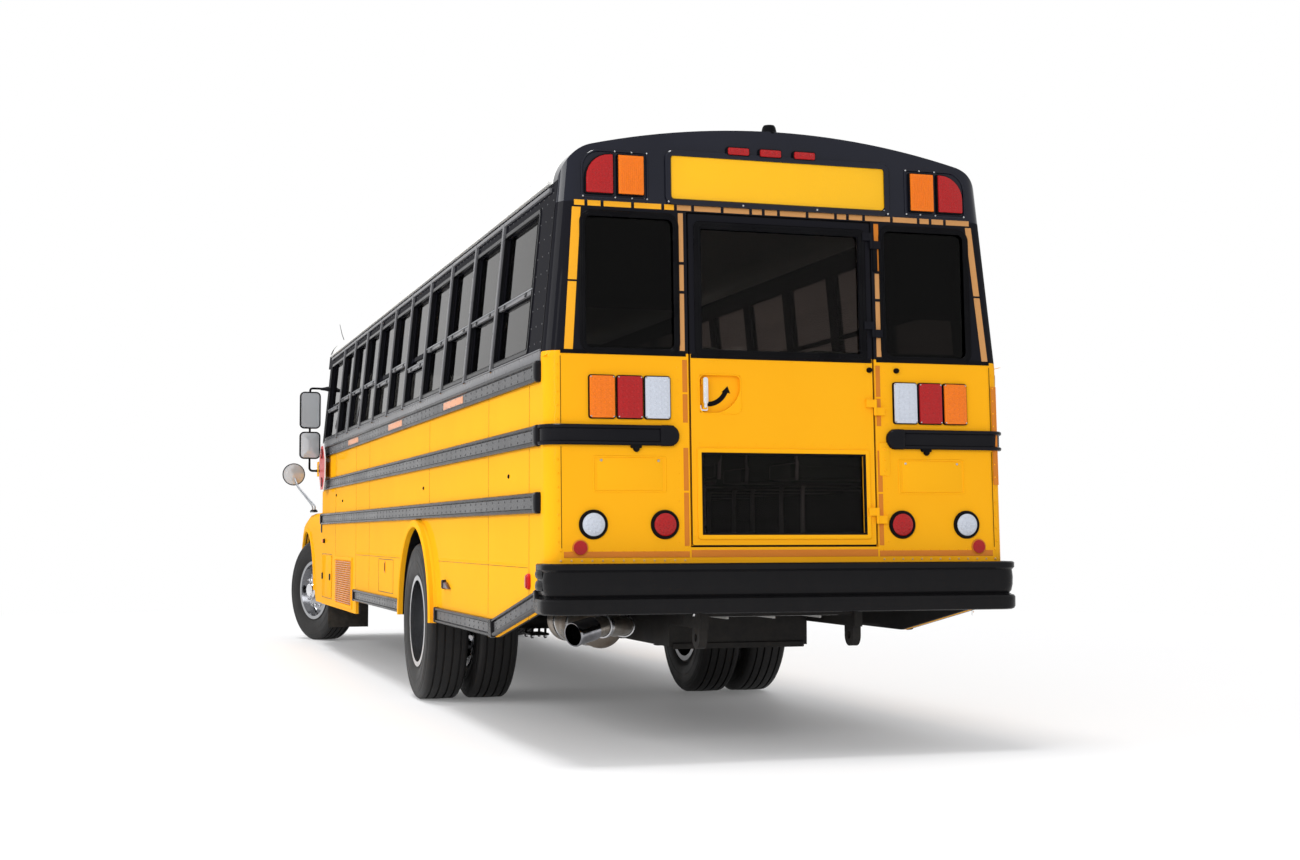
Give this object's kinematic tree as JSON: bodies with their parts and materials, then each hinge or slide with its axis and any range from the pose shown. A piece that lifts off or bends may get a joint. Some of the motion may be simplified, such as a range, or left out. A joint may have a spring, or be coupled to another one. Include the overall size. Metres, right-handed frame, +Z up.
{
  "type": "school bus",
  "caption": "Conventional yellow school bus with a ribbed hollow body, tilting hood, folding entry door, rear emergency door, roof hatches, stop arm and steered wheels.",
  "frame": {"origin": "on the ground under the centre of the whole bus, bumpers included", "axes": "+X to the front of the bus, +Y to its left side, +Z up"},
  "size_m": [11.732, 2.9, 3.195],
  "materials": {
    "body_yellow": "glossy school-bus yellow paint",
    "black_paint": "satin black paint",
    "cap_gloss_black": "high-gloss black paint",
    "roof_white": "satin white paint",
    "floor_rubber": "ribbed black rubber floor covering",
    "tinted_glass": "smooth dark tinted safety glass",
    "seat_vinyl": "dark green coated seat vinyl",
    "grey_plastic": "moulded dark grey plastic",
    "engine_grey": "as-cast, oily",
    "exhaust_steel": "dull aluminised steel",
    "mudflap_rubber": "matt black sheet",
    "lamp_plastic": "clear-coated red and amber lenses",
    "sign_red": "retroreflective red sheet",
    "rim_polished": "polished",
    "tyre_rubber": "black rubber with fine grooves"
  },
  "bodies": {
    "bus": {"frame_rails": "black_paint", "floor": "floor_rubber", "left_side_wall": "body_yellow", "right_side_wall": "body_yellow", "roof": "roof_white", "rear_wall": "body_yellow", "rear_cap": "cap_gloss_black", "front_end": "body_yellow", "body_glass": "tinted_glass", "rub_rails": "black_paint", "bumpers": "black_paint", "seats": "seat_vinyl", "dashboard": "grey_plastic", "engine_block": "engine_grey", "fuel_tank": "black_paint", "exhaust": "exhaust_steel", "rear_axle": "black_paint", "front_axle": "black_paint", "leaf_springs": "black_paint", "mudflaps": "mudflap_rubber", "mirrors": "black_paint", "lamps": "lamp_plastic"},
    "tilting_hood": {"hood": "body_yellow", "grille": "black_paint", "crossview_mirrors": "black_paint"},
    "emergency_door": {"rear_door": "body_yellow", "rear_door_glass": "tinted_glass"},
    "entry_leaf_front": {"entry_door_front": "black_paint", "entry_glass_front": "tinted_glass"},
    "entry_leaf_rear": {"entry_door_rear": "black_paint", "entry_glass_rear": "tinted_glass"},
    "stop_sign": {"stop_arm": "sign_red"},
    "hatch_front": {"front_roof_hatch": "roof_white"},
    "hatch_rear": {"rear_roof_hatch": "roof_white"},
    "steering": {"steering_wheel": "grey_plastic"},
    "hub_carrier_left": {"knuckle_left": "engine_grey"},
    "hub_carrier_right": {"knuckle_right": "engine_grey"},
    "wheel_front_left": {"front_wheel_left": "rim_polished", "front_tyre_left": "tyre_rubber"},
    "wheel_front_right": {"front_wheel_right": "rim_polished", "front_tyre_right": "tyre_rubber"},
    "wheels_rear_left": {"rear_wheels_left": "rim_polished", "rear_tyres_left": "tyre_rubber"},
    "wheels_rear_right": {"rear_wheels_right": "rim_polished", "rear_tyres_right": "tyre_rubber"}
  },
  "joints": [
    {"name": "rear_door_hinge", "type": "hinge", "parent": "bus", "child": "emergency_door", "pos_m": [-5.73628, -0.495, 1.8], "axis": [0.04, 0, 0.9992], "range_deg": [0, 110]},
    {"name": "entry_front_hinge", "type": "hinge", "parent": "bus", "child": "entry_leaf_front", "pos_m": [3.31, -1.229, 1.5], "axis": [0, 0, 1], "range_deg": [0, 90]},
    {"name": "entry_rear_hinge", "type": "hinge", "parent": "bus", "child": "entry_leaf_rear", "pos_m": [2.478, -1.229, 1.5], "axis": [0, 0, 1], "range_deg": [-90, 0]},
    {"name": "stop_arm_hinge", "type": "hinge", "parent": "bus", "child": "stop_sign", "pos_m": [3.324, 1.271, 1.735], "axis": [0, 0, 1], "range_deg": [-90, 0]},
    {"name": "hood_hinge", "type": "hinge", "parent": "bus", "child": "tilting_hood", "pos_m": [5.726, 0, 0.732], "axis": [0, 1, 0], "range_deg": [0, 70]},
    {"name": "front_hatch_hinge", "type": "hinge", "parent": "bus", "child": "hatch_front", "pos_m": [2.076, 0, 3.16], "axis": [0, 1, 0], "range_deg": [0, 80]},
    {"name": "rear_hatch_hinge", "type": "hinge", "parent": "bus", "child": "hatch_rear", "pos_m": [-2.274, 0, 3.16], "axis": [0, 1, 0], "range_deg": [0, 80]},
    {"name": "steer_left", "type": "hinge", "parent": "bus", "child": "hub_carrier_left", "pos_m": [4.961, 0.93, 0.52], "axis": [0, 0, 1], "range_deg": [-61, 19]},
    {"name": "steer_right", "type": "hinge", "parent": "bus", "child": "hub_carrier_right", "pos_m": [4.961, -0.93, 0.52], "axis": [0, 0, 1], "range_deg": [-61, 19]},
    {"name": "steering_wheel_turn", "type": "hinge", "parent": "bus", "child": "steering", "pos_m": [2.964, 0.56, 1.8], "axis": [-0.5, 0, 0.866], "range_deg": [-980, 310]},
    {"name": "front_left_spin", "type": "hinge", "parent": "hub_carrier_left", "child": "wheel_front_left", "pos_m": [4.961, 0.93, 0.52], "axis": [-0.3584, 0.9336, 0], "continuous": true},
    {"name": "front_right_spin", "type": "hinge", "parent": "hub_carrier_right", "child": "wheel_front_right", "pos_m": [4.961, -0.93, 0.52], "axis": [-0.3584, 0.9336, 0], "continuous": true},
    {"name": "rear_left_spin", "type": "hinge", "parent": "bus", "child": "wheels_rear_left", "pos_m": [-2.126, 0, 0.52], "axis": [0, 1, 0], "continuous": true},
    {"name": "rear_right_spin", "type": "hinge", "parent": "bus", "child": "wheels_rear_right", "pos_m": [-2.126, 0, 0.52], "axis": [0, 1, 0], "continuous": true}
  ],
  "couplings": [
    {"joint": "entry_rear_hinge", "follows": "entry_front_hinge", "ratio": -1},
    {"joint": "steer_right", "follows": "steer_left", "ratio": 1},
    {"joint": "steering_wheel_turn", "follows": "steer_left", "ratio": 16}
  ]
}
